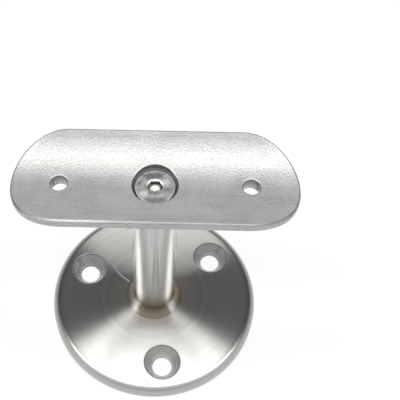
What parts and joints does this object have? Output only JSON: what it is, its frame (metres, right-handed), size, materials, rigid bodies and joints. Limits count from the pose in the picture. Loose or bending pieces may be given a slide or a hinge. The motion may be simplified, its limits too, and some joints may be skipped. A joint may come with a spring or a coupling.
{
  "type": "handrail bracket",
  "caption": "Handrail bracket: round wall flange with countersunk holes, a straight welded stem and a curved saddle plate screwed to its end.",
  "frame": {"origin": "centre of the flange's back face", "axes": "+Z along the stem from the wall to the saddle, +X along the rail that the saddle carries"},
  "size_m": [0.08, 0.07, 0.0765],
  "materials": {
    "turned_steel": "turned, with fine circular tool marks",
    "bar_steel": "polished bar, with faint lengthwise lines",
    "weld_steel": "weld bead with straw and brown heat tint",
    "blasted_steel": "bead-blasted, fine matte grain",
    "screw_steel": "cold-formed screw, satin"
  },
  "bodies": {
    "root": {"base_flange": "turned_steel", "post": "bar_steel", "foot_weld": "weld_steel", "saddle_plate": "blasted_steel", "saddle_screw": "screw_steel"}
  },
  "joints": []
}
